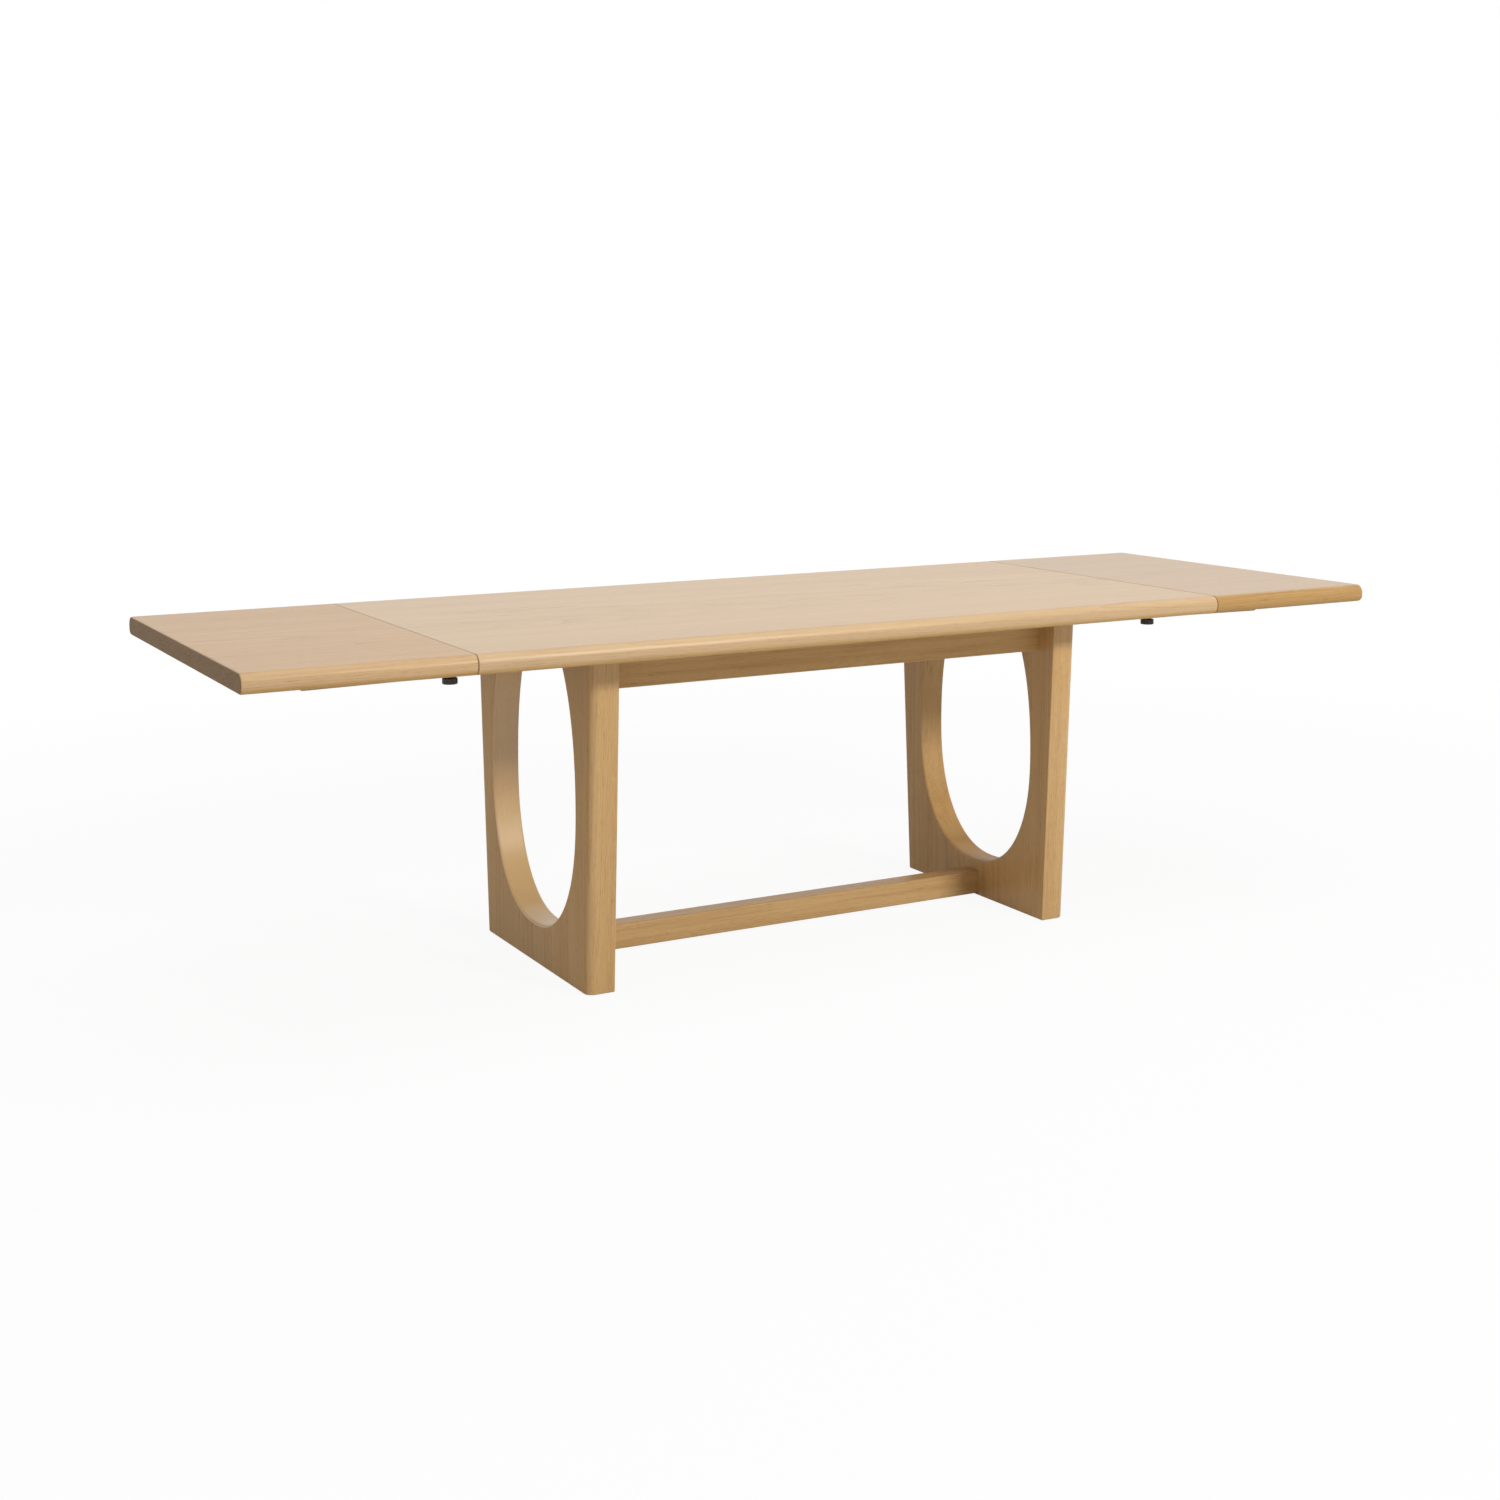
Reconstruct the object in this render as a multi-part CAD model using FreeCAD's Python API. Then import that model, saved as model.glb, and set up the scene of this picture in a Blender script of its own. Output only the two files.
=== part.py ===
import FreeCAD, Part

import math
import os

# Oak trestle table with a leaf at each end, drawn out on forked bearers and locked by hand knobs.
# Millimetres. Origin on the floor under the middle of the table: +X along its length, +Y to the back, +Z up.

# Tops
TABLE_HEIGHT = 755.0
TABLE_WIDTH = 925.0
MAIN_LENGTH = 1800.0
LEAF_LENGTH = 450.0
TOP_THICKNESS = 40.0
TOP_EDGE_RADIUS = 19.0
UNDER_EDGE_RADIUS = 16.0
LEAF_END_RADIUS = 4.0
JOINT_CHAMFER = 1.5

# Trestle panels
TRESTLE_THICKNESS = 63.0
TRESTLE_OVERHANG = 294.0
TRESTLE_HEAD_WIDTH = 644.0
TRESTLE_FOOT_WIDTH = 564.0
OUTER_ARRIS_RADIUS = 20.0
INNER_ARRIS_RADIUS = 3.0
RIM_ARRIS_RADIUS = 5.0
FOOT_ARRIS_RADIUS = 2.5

# Egg-shaped opening: a superellipse whose crown would close above the trestle's head
OVAL_WIDTH = 457.0
OVAL_SILL_HEIGHT = 88.0
OVAL_WIDEST_HEIGHT = 384.0
OVAL_CROWN_RISE = 56.0
OVAL_POWER = 2.25
OVAL_POINTS = 24

# Head rail, apron and stretcher
RAIL_THICKNESS = 40.0
RAIL_HEIGHT = 46.0
RAIL_LENGTH = 430.0
APRON_THICKNESS = 24.0
APRON_HEIGHT = 85.0
APRON_SETBACK = 63.0
APRON_HOUSING = 6.0
APRON_ARRIS = 3.0
STRETCHER_WIDTH = 50.0
STRETCHER_HEIGHT = 55.0
STRETCHER_LIFT = 7.5
STRETCHER_HOUSING = 8.0
STRETCHER_ARRIS = 4.0

# Bearers and their guide strips
BEARER_SPACING = 480.0
BEARER_WIDTH = 60.0
BEARER_DEPTH = 29.0
BEARER_END_DROP = 3.5
BEARER_REACH = 288.0
BEARER_TRESTLE_GAP = 23.0
BEARER_NOSE_RADIUS = 5.0
GUIDE_WIDTH = 20.0
GUIDE_DEPTH = 24.0
GUIDE_ARRIS = 3.0
GUIDE_INNER_GAP = 20.0
GUIDE_JOINT_GAP = 40.0
GUIDE_PLAY = 0.5

# Locking knobs
KNOB_INSET = 23.5
KNOB_DIAMETER = 31.0
KNOB_FLANGE = 12.0
KNOB_NECK_DIAMETER = 19.0
KNOB_NECK = 6.5
KNOB_ARRIS = 1.2
KNOB_FLUTES = 8
FLUTE_DIAMETER = 6.0
FLUTE_BITE = 1.4
KNOB_PLAY = 0.3
STUD_DIAMETER = 8.0
STUD_IN_KNOB = 9.0
STUD_IN_TOP = 18.0
SLOT_PLAY = 1.0
INSERT_DIAMETER = 12.0
INSERT_HEIGHT = 20.0

# Locating dowels of the leaves
DOWEL_DIAMETER = 10.0
DOWEL_LENGTH = 50.0
DOWEL_TIP = 2.0
DOWEL_SPACINGS = (300.0, 800.0)
DOWEL_PLAY = 0.2

# Screws, all pointing up with their heads below
SCREW_DIAMETER = 5.0
SCREW_HEAD_DIAMETER = 9.6
SCREW_TIP = 3.0
SCREW_GRIP = 20.0
SCREW_SINK = 2.0
RAIL_SCREW_DEPTH = 16.0
RAIL_SCREW_PITCH = 95.0
GUIDE_SCREW_END = 35.0
BEARER_SCREW_END = 40.0
BEARER_SCREWS = 3

# Hanger bolts and barrel nuts
BOLT_DIAMETER = 8.0
BOLT_IN_TRESTLE = 32.0
BOLT_TO_NUT = 38.0
BOLT_PAST_NUT = 12.0
NUT_DIAMETER = 13.0
APRON_NUT_LENGTH = 16.0
STRETCHER_NUT_LENGTH = 24.0

# Wooden buttons between the aprons and the top
BUTTON_WIDTH = 30.0
BUTTON_LENGTH = 34.0
BUTTON_HEIGHT = 18.0
BUTTON_TONGUE = 9.0
BUTTON_TONGUE_HEIGHT = 9.0
BUTTON_PITCH = 350.0
BUTTONS_PER_APRON = 3

# Floor glides
GLIDE_DIAMETER = 30.0
GLIDE_HEIGHT = 5.0
GLIDE_PROUD = 2.0
GLIDE_ARRIS = 1.0
GLIDE_INSET = 45.0

# Clearances of round fits: metal in wood, and turning or sliding metal
SET_FIT = 0.05
TURN_FIT = 0.05
TOLERANCE = 0.01

Vec = FreeCAD.Vector
UP = Vec(0, 0, 1)
ALONG = Vec(1, 0, 0)
BACK = Vec(0, 1, 0)

# Places worked out from the sizes
under_top = TABLE_HEIGHT - TOP_THICKNESS
joint_x = MAIN_LENGTH / 2
end_x = joint_x + LEAF_LENGTH
trestle_outer_x = joint_x - TRESTLE_OVERHANG
trestle_inner_x = trestle_outer_x - TRESTLE_THICKNESS
trestle_mid_x = trestle_outer_x - TRESTLE_THICKNESS / 2
bearer_inner_x = trestle_outer_x + BEARER_TRESTLE_GAP
bearer_outer_x = joint_x + BEARER_REACH
bearer_under = under_top - BEARER_DEPTH
bearer_y = BEARER_SPACING / 2
guide_inner_x = bearer_inner_x + GUIDE_INNER_GAP
guide_outer_x = joint_x - GUIDE_JOINT_GAP
knob_x = joint_x - KNOB_INSET
knob_top = bearer_under - KNOB_PLAY
apron_front_y = TRESTLE_HEAD_WIDTH / 2 - APRON_SETBACK
apron_back_y = apron_front_y - APRON_THICKNESS
apron_mid_y = apron_front_y - APRON_THICKNESS / 2
apron_under = under_top - APRON_HEIGHT
apron_end_x = trestle_inner_x + APRON_HOUSING
stretcher_end_x = trestle_inner_x + STRETCHER_HOUSING
stretcher_top = STRETCHER_LIFT + STRETCHER_HEIGHT
rail_under = under_top - RAIL_HEIGHT
button_pitches = [BUTTON_PITCH * (k - (BUTTONS_PER_APRON - 1) / 2) for k in range(BUTTONS_PER_APRON)]


def box(x0, x1, y0, y1, z0, z1):
    return Part.makeBox(x1 - x0, y1 - y0, z1 - z0, Vec(x0, y0, z0))


def rod(radius, length, start, direction):
    return Part.makeCylinder(radius, length, start, direction)


def revolved(profile, place):
    """A solid turned about a vertical axis through place from (radius, height) points."""
    wire = Part.makePolygon([Vec(r, 0, z) for r, z in profile + profile[:1]])
    solid = Part.Face(wire).revolve(Vec(0, 0, 0), UP, 360)
    solid.translate(place)
    return solid


def edges_at(shape, test):
    return [edge for edge in shape.Edges if test(edge.CenterOfMass)]


def near(a, b):
    return abs(a - b) < TOLERANCE


def to_left(shape):
    return shape.mirror(Vec(0, 0, 0), ALONG)


def to_back(shape):
    return shape.mirror(Vec(0, 0, 0), BACK)


def both_ends(shapes):
    return shapes + [to_left(shape) for shape in shapes]


def front_and_back(shapes):
    return shapes + [to_back(shape) for shape in shapes]


def cut_all(shape, tools):
    for tool in tools:
        shape = shape.cut(tool)
    return shape


# Fasteners

def screw(place, length, play=0.0):
    """Countersunk screw with its head's flat face at place; play widens it into its hole."""
    shank = SCREW_DIAMETER / 2
    head = SCREW_HEAD_DIAMETER / 2
    tip = length - SCREW_TIP
    profile = [(0, 0), (head + play, 0), (shank + play, head - shank), (shank + play, tip), (0, length + play)]
    return revolved(profile, place)


def screw_hole(place, length, entry):
    """Hole for a screw whose head is sunk above the entry height."""
    hole = screw(place, length, SET_FIT)
    sink = place.z - entry
    if sink > 0:
        mouth = rod(SCREW_HEAD_DIAMETER / 2 + SET_FIT, sink, Vec(place.x, place.y, entry), UP)
        hole = hole.fuse(mouth)
    return hole


def guide_screw_places():
    """Right front bearer: two screws in each of its two guide strips."""
    side = BEARER_WIDTH / 2 + GUIDE_PLAY + GUIDE_WIDTH / 2
    head_z = under_top - GUIDE_DEPTH + SCREW_SINK
    xs = (guide_inner_x + GUIDE_SCREW_END, guide_outer_x - GUIDE_SCREW_END)
    return [Vec(x, -bearer_y + s * side, head_z) for s in (-1, 1) for x in xs]


def guide_screw_length():
    return GUIDE_DEPTH - SCREW_SINK + SCREW_GRIP


def bearer_screw_places():
    """Right front bearer: a row of screws up into the leaf."""
    first = joint_x + BEARER_SCREW_END
    step = (BEARER_REACH - 2 * BEARER_SCREW_END) / (BEARER_SCREWS - 1)
    places = []
    for k in range(BEARER_SCREWS):
        x = first + k * step
        places.append(Vec(x, -bearer_y, bearer_bottom(x) + SCREW_SINK))
    return places


def bearer_screw_length(place):
    return under_top + SCREW_GRIP - place.z


def rail_screw_places():
    head_z = rail_under + RAIL_SCREW_DEPTH
    return [Vec(trestle_mid_x, k * RAIL_SCREW_PITCH, head_z) for k in (-1, 0, 1)]


def rail_screw_length():
    return RAIL_HEIGHT - RAIL_SCREW_DEPTH + SCREW_GRIP


def button_screw_places():
    """Front apron's buttons."""
    y = -(apron_back_y - BUTTON_LENGTH / 2)
    return [Vec(x, y, under_top - BUTTON_HEIGHT + SCREW_SINK) for x in button_pitches]


def button_screw_length():
    return BUTTON_HEIGHT - SCREW_SINK + SCREW_GRIP


def hanger_bolt(end_place, play=0.0):
    """Bolt along X from inside the right trestle, through the rail's end and its barrel nut."""
    start = end_place.x - BOLT_TO_NUT - BOLT_PAST_NUT
    length = BOLT_TO_NUT + BOLT_PAST_NUT + BOLT_IN_TRESTLE
    return rod(BOLT_DIAMETER / 2 + play, length, Vec(start, end_place.y, end_place.z), ALONG)


def barrel_nut(end_place, axis, length):
    centre = Vec(end_place.x - BOLT_TO_NUT, end_place.y, end_place.z)
    nut = rod(NUT_DIAMETER / 2, length, centre - axis * (length / 2), axis)
    return nut.cut(hanger_bolt(end_place, SET_FIT))


def apron_bolt_place():
    return Vec(apron_end_x, -apron_mid_y, apron_under + APRON_HEIGHT / 2)


def stretcher_bolt_place():
    return Vec(stretcher_end_x, 0, STRETCHER_LIFT + STRETCHER_HEIGHT / 2)


# Tops

def board(x0, x1, joint_ends, free_ends):
    """A board with rounded long edges; joint ends are chamfered and free ends rounded."""
    half = TABLE_WIDTH / 2
    wall = TOP_THICKNESS / 2 - TOLERANCE
    solid = box(x0, x1, -half, half, under_top, TABLE_HEIGHT)
    upper = edges_at(solid, lambda c: near(abs(c.y), half) and near(c.z, TABLE_HEIGHT))
    solid = solid.makeFillet(min(TOP_EDGE_RADIUS, wall), upper)
    lower = edges_at(solid, lambda c: near(abs(c.y), half) and near(c.z, under_top))
    solid = solid.makeFillet(min(UNDER_EDGE_RADIUS, wall), lower)
    for x in free_ends:
        solid = solid.makeFillet(min(LEAF_END_RADIUS, UNDER_EDGE_RADIUS / 2), end_edges(solid, x))
    for x in joint_ends:
        solid = solid.makeChamfer(JOINT_CHAMFER, end_edges(solid, x))
    return solid


def end_edges(solid, x):
    return [edge for edge in solid.Edges if near(edge.BoundBox.XMin, x) and near(edge.BoundBox.XMax, x)]


def dowel_places():
    """Middle of each right-hand dowel, on the joint."""
    z = under_top + TOP_THICKNESS / 2
    return [Vec(joint_x, s * spacing / 2, z) for spacing in DOWEL_SPACINGS for s in (-1, 1)]


def dowel(place):
    half = DOWEL_LENGTH / 2
    pin = rod(DOWEL_DIAMETER / 2, DOWEL_LENGTH, place - ALONG * half, ALONG)
    return pin.makeChamfer(DOWEL_TIP, pin.Edges[0:1] + pin.Edges[2:3])


def dowel_hole(place, play):
    half = DOWEL_LENGTH / 2 + play
    return rod(DOWEL_DIAMETER / 2 + play, 2 * half, place - ALONG * half, ALONG)


def main_top():
    solid = board(-joint_x, joint_x, (-joint_x, joint_x), ())
    right = [dowel_hole(place, DOWEL_PLAY) for place in dowel_places()]
    right += [screw_hole(place, rail_screw_length(), place.z) for place in rail_screw_places()]
    corner = [screw_hole(place, guide_screw_length(), place.z) for place in guide_screw_places()]
    corner.append(rod(INSERT_DIAMETER / 2 + SET_FIT, INSERT_HEIGHT, Vec(knob_x, -bearer_y, under_top), UP))
    middle = [screw_hole(place, button_screw_length(), place.z) for place in button_screw_places()]
    tools = both_ends(right + front_and_back(corner)) + front_and_back(middle)
    return cut_all(solid, tools)


def right_leaf():
    solid = board(joint_x, end_x, (joint_x,), (end_x,))
    tools = [dowel_hole(place, SET_FIT) for place in dowel_places()]
    screws = [screw_hole(place, bearer_screw_length(place), place.z) for place in bearer_screw_places()]
    return cut_all(solid, tools + front_and_back(screws))


# Trestles and what joins them

def oval_opening():
    """Prism of the egg-shaped opening, right through the right trestle."""
    crown = under_top + OVAL_CROWN_RISE
    rise = crown - OVAL_WIDEST_HEIGHT
    fall = OVAL_WIDEST_HEIGHT - OVAL_SILL_HEIGHT
    points = []
    for k in range(OVAL_POINTS):
        angle = 2 * math.pi * k / OVAL_POINTS
        c, s = math.cos(angle), math.sin(angle)
        y = OVAL_WIDTH / 2 * math.copysign(abs(c) ** (2 / OVAL_POWER), c)
        z = (rise if s > 0 else fall) * math.copysign(abs(s) ** (2 / OVAL_POWER), s)
        points.append(Vec(trestle_inner_x, y, OVAL_WIDEST_HEIGHT + z))
    curve = Part.BSplineCurve()
    curve.interpolate(Points=points, PeriodicFlag=True)
    return Part.Face(Part.Wire(curve.toShape())).extrude(ALONG * TRESTLE_THICKNESS)


def trestle_blank():
    """Tapered panel with the opening, its arrises rounded."""
    head = TRESTLE_HEAD_WIDTH / 2
    foot = TRESTLE_FOOT_WIDTH / 2
    corners = [(-foot, GLIDE_PROUD), (foot, GLIDE_PROUD), (head, under_top), (-head, under_top)]
    outline = Part.makePolygon([Vec(trestle_inner_x, y, z) for y, z in corners + corners[:1]])
    solid = Part.Face(outline).extrude(ALONG * TRESTLE_THICKNESS)
    mid_height = (under_top + GLIDE_PROUD) / 2
    sides = edges_at(solid, lambda c: near(c.z, mid_height) and near(c.x, trestle_outer_x))
    solid = solid.makeFillet(OUTER_ARRIS_RADIUS, sides)
    sides = edges_at(solid, lambda c: near(c.z, mid_height) and near(c.x, trestle_inner_x))
    solid = solid.makeFillet(INNER_ARRIS_RADIUS, sides)
    soles = [edge for edge in solid.Edges if near(edge.BoundBox.ZMax, GLIDE_PROUD)]
    solid = solid.makeFillet(min(FOOT_ARRIS_RADIUS, INNER_ARRIS_RADIUS - TOLERANCE), soles)
    solid = solid.cut(oval_opening())
    rims = [edge for edge in solid.Edges if is_rim(edge)]
    return solid.makeFillet(RIM_ARRIS_RADIUS, rims)


def is_rim(edge):
    """True for the opening's curved edge on either broad face."""
    faces = (trestle_inner_x, trestle_outer_x)
    on_face = any(near(edge.BoundBox.XMin, x) and near(edge.BoundBox.XMax, x) for x in faces)
    return on_face and isinstance(edge.Curve, Part.BSplineCurve)


def head_rail():
    half = RAIL_LENGTH / 2
    return box(trestle_mid_x - RAIL_THICKNESS / 2, trestle_mid_x + RAIL_THICKNESS / 2, -half, half,
               rail_under, under_top)


def glide_places():
    y = TRESTLE_FOOT_WIDTH / 2 - GLIDE_INSET
    return [Vec(trestle_mid_x, s * y, 0) for s in (-1, 1)]


def glide(place):
    disc = rod(GLIDE_DIAMETER / 2, GLIDE_HEIGHT, place, UP)
    rim = edges_at(disc, lambda c: near(c.z, 0))
    return disc.makeChamfer(GLIDE_ARRIS, rim)


def glide_pocket(place):
    return rod(GLIDE_DIAMETER / 2 + SET_FIT, GLIDE_HEIGHT, place, UP)


def right_trestle():
    tools = [head_rail(), stretcher_blank()]
    tools += front_and_back([apron_blank(), hanger_bolt(apron_bolt_place(), SET_FIT)])
    tools.append(hanger_bolt(stretcher_bolt_place(), SET_FIT))
    tools += [glide_pocket(place) for place in glide_places()]
    return cut_all(trestle_blank(), tools)


def right_rail():
    tools = [screw_hole(place, rail_screw_length(), rail_under) for place in rail_screw_places()]
    return cut_all(head_rail(), tools)


def apron_blank():
    return box(-apron_end_x, apron_end_x, -apron_front_y, -apron_back_y, apron_under, under_top)


def front_apron():
    solid = apron_blank()
    lower = edges_at(solid, lambda c: near(c.x, 0) and near(c.z, apron_under))
    solid = solid.makeFillet(APRON_ARRIS, lower)
    place = apron_bolt_place()
    pocket_depth = apron_mid_y - apron_back_y + APRON_NUT_LENGTH / 2
    pocket_place = Vec(place.x - BOLT_TO_NUT, -apron_back_y - pocket_depth, place.z)
    tools = both_ends([hanger_bolt(place, SET_FIT), rod(NUT_DIAMETER / 2 + SET_FIT, pocket_depth, pocket_place, BACK)])
    return cut_all(solid, tools + [button_tongue(x) for x in button_pitches])


def stretcher_blank():
    half = STRETCHER_WIDTH / 2
    return box(-stretcher_end_x, stretcher_end_x, -half, half, STRETCHER_LIFT, stretcher_top)


def stretcher():
    solid = stretcher_blank()
    solid = solid.makeFillet(STRETCHER_ARRIS, edges_at(solid, lambda c: near(c.x, 0)))
    place = stretcher_bolt_place()
    pocket_depth = STRETCHER_HEIGHT / 2 + STRETCHER_NUT_LENGTH / 2
    pocket = rod(NUT_DIAMETER / 2 + SET_FIT, pocket_depth, Vec(place.x - BOLT_TO_NUT, 0, STRETCHER_LIFT), UP)
    return cut_all(solid, both_ends([hanger_bolt(place, SET_FIT), pocket]))


def button_tongue(x):
    """Tongue of a front button, from the apron's inner face into its mortise."""
    half = BUTTON_WIDTH / 2
    low = under_top - BUTTON_HEIGHT
    return box(x - half, x + half, -apron_back_y - BUTTON_TONGUE, -apron_back_y, low, low + BUTTON_TONGUE_HEIGHT)


def button(place):
    """Front button: a block under the top with a tongue in the apron."""
    half = BUTTON_WIDTH / 2
    block = box(place.x - half, place.x + half, -apron_back_y, -apron_back_y + BUTTON_LENGTH,
                under_top - BUTTON_HEIGHT, under_top)
    block = block.fuse(button_tongue(place.x)).removeSplitter()
    return block.cut(screw_hole(place, button_screw_length(), under_top - BUTTON_HEIGHT))


# Draw gear of the right leaf, front side

def bearer_bottom(x):
    """Height of a bearer's lower face, which drops away under the leaf."""
    return bearer_under - BEARER_END_DROP * max(0, x - joint_x) / BEARER_REACH


def bearer():
    """Forked bearer: level below the main top, tapering below the leaf."""
    y0 = -bearer_y - BEARER_WIDTH / 2
    side = [(bearer_inner_x, under_top), (bearer_inner_x, bearer_under), (joint_x, bearer_under),
            (bearer_outer_x, bearer_bottom(bearer_outer_x)), (bearer_outer_x, under_top)]
    outline = Part.makePolygon([Vec(x, y0, z) for x, z in side + side[:1]])
    solid = Part.Face(outline).extrude(BACK * BEARER_WIDTH)
    nose_z = bearer_bottom(bearer_outer_x)
    nose = edges_at(solid, lambda c: near(c.x, bearer_outer_x) and near(c.z, nose_z))
    solid = solid.makeFillet(BEARER_NOSE_RADIUS, nose)
    slot_half = STUD_DIAMETER / 2 + SLOT_PLAY
    slot = box(bearer_inner_x, knob_x + SLOT_PLAY, -bearer_y - slot_half, -bearer_y + slot_half,
               bearer_under, under_top)
    slot_end = rod(slot_half, BEARER_DEPTH, Vec(knob_x + SLOT_PLAY, -bearer_y, bearer_under), UP)
    holes = []
    for place in bearer_screw_places():
        holes.append(screw_hole(place, bearer_screw_length(place), place.z - SCREW_SINK - BEARER_END_DROP))
    return cut_all(solid, [slot, slot_end] + holes)


def guide(side):
    """Guide strip of the right front bearer; side -1 is the outer one, 1 the inner one."""
    gap = BEARER_WIDTH / 2 + GUIDE_PLAY
    ys = sorted((-bearer_y + side * gap, -bearer_y + side * (gap + GUIDE_WIDTH)))
    low = under_top - GUIDE_DEPTH
    solid = box(guide_inner_x, guide_outer_x, ys[0], ys[1], low, under_top)
    solid = solid.makeChamfer(GUIDE_ARRIS, edges_at(solid, lambda c: near(c.z, low)))
    return cut_all(solid, [screw_hole(place, guide_screw_length(), low) for place in guide_screw_places()])


def knob():
    """Fluted hand knob: a flat grip flange turned in one piece with its neck."""
    flange_top = knob_top - KNOB_NECK
    flange_low = flange_top - KNOB_FLANGE
    axis = Vec(knob_x, -bearer_y, 0)
    rim = KNOB_DIAMETER / 2
    neck = KNOB_NECK_DIAMETER / 2
    profile = [(0, flange_low), (rim - KNOB_ARRIS, flange_low), (rim, flange_low + KNOB_ARRIS),
               (rim, flange_top - KNOB_ARRIS), (rim - KNOB_ARRIS, flange_top), (neck, flange_top),
               (neck, knob_top), (0, knob_top)]
    solid = revolved(profile, axis)
    reach = rim + FLUTE_DIAMETER / 2 - FLUTE_BITE
    for k in range(KNOB_FLUTES):
        angle = 2 * math.pi * k / KNOB_FLUTES
        centre = axis + Vec(reach * math.cos(angle), reach * math.sin(angle), flange_low)
        solid = solid.cut(rod(FLUTE_DIAMETER / 2, KNOB_FLANGE, centre, UP))
    return solid.cut(stud())


def stud():
    low = knob_top - STUD_IN_KNOB
    return rod(STUD_DIAMETER / 2, under_top + STUD_IN_TOP - low, Vec(knob_x, -bearer_y, low), UP)


def insert():
    foot = Vec(knob_x, -bearer_y, under_top)
    sleeve = rod(INSERT_DIAMETER / 2, INSERT_HEIGHT, foot, UP)
    return sleeve.cut(rod(STUD_DIAMETER / 2 + TURN_FIT, INSERT_HEIGHT, foot, UP))


# Writing the pieces

def write(name, solids):
    shape = solids[0] if len(solids) == 1 else Part.makeCompound(solids)
    shape.exportStep("parts/%s.step" % name)


def write_tops():
    write("main_top", [main_top()])
    leaf = right_leaf()
    dowels = [dowel(place) for place in dowel_places()]
    screws = front_and_back([screw(place, bearer_screw_length(place)) for place in bearer_screw_places()])
    write("right_leaf", [leaf])
    write("right_leaf_dowels", dowels)
    write("right_bearer_screws", screws)
    write("left_leaf", [to_left(leaf)])
    write("left_leaf_dowels", [to_left(pin) for pin in dowels])
    write("left_bearer_screws", [to_left(pin) for pin in screws])


def write_draw_gear():
    pieces = {"bearer": bearer(), "guide_outer": guide(-1), "guide_inner": guide(1), "knob": knob(),
              "knob_stud": stud()}
    for name, front in pieces.items():
        write("right_front_" + name, [front])
        write("right_back_" + name, [to_back(front)])
        write("left_front_" + name, [to_left(front)])
        write("left_back_" + name, [to_left(to_back(front))])
    screws = [screw(place, guide_screw_length()) for place in guide_screw_places()]
    write("guide_screws", both_ends(front_and_back(screws)))
    write("knob_inserts", both_ends(front_and_back([insert()])))


def write_frame():
    trestle = right_trestle()
    rail = right_rail()
    write("right_trestle", [trestle])
    write("left_trestle", [to_left(trestle)])
    write("right_head_rail", [rail])
    write("left_head_rail", [to_left(rail)])
    write("head_rail_screws", both_ends([screw(place, rail_screw_length()) for place in rail_screw_places()]))
    apron = front_apron()
    write("front_apron", [apron])
    write("back_apron", [to_back(apron)])
    write("stretcher", [stretcher()])
    place = apron_bolt_place()
    write("apron_bolts", both_ends(front_and_back([hanger_bolt(place)])))
    write("apron_nuts", both_ends(front_and_back([barrel_nut(place, BACK, APRON_NUT_LENGTH)])))
    place = stretcher_bolt_place()
    write("stretcher_bolts", both_ends([hanger_bolt(place)]))
    write("stretcher_nuts", both_ends([barrel_nut(place, UP, STRETCHER_NUT_LENGTH)]))
    places = button_screw_places()
    write("top_buttons", front_and_back([button(place) for place in places]))
    write("button_screws", front_and_back([screw(place, button_screw_length()) for place in places]))
    write("floor_glides", both_ends([glide(place) for place in glide_places()]))


os.makedirs("parts", exist_ok=True)
write_tops()
write_draw_gear()
write_frame()
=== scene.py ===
"""Looks of an oak trestle table with a drawn leaf at each end: finishes, fittings, studio and camera."""

import math

import bmesh
import bpy
from mathutils import Matrix, Vector


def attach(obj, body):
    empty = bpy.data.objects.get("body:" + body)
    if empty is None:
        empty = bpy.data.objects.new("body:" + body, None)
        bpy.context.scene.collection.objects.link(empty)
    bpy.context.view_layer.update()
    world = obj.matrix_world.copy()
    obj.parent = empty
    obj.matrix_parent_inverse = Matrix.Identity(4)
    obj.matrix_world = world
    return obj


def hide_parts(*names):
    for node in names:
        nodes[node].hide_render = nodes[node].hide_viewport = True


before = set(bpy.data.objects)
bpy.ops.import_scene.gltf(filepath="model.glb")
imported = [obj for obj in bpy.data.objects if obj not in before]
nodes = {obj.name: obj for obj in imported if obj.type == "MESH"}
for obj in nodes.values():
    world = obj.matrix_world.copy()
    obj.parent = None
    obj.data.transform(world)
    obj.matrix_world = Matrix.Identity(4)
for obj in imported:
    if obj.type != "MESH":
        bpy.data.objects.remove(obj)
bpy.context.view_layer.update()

# Table lengths that the finishes need, in metres
TOP_JOINT = 0.9
OPENING_HALF_WIDTH = 0.2285


def srgb(red, green, blue):
    """Linear colour with alpha from the usual 0 to 255 numbers."""
    linear = []
    for level in (red, green, blue):
        share = level / 255
        linear.append(share / 12.92 if share <= 0.04045 else ((share + 0.055) / 1.055) ** 2.4)
    return (*linear, 1.0)


def pick(sockets, key):
    """The socket in use with that name, or the one with that number."""
    if isinstance(key, int):
        return sockets[key]
    return next(socket for socket in sockets if socket.name == key and socket.enabled)


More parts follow.
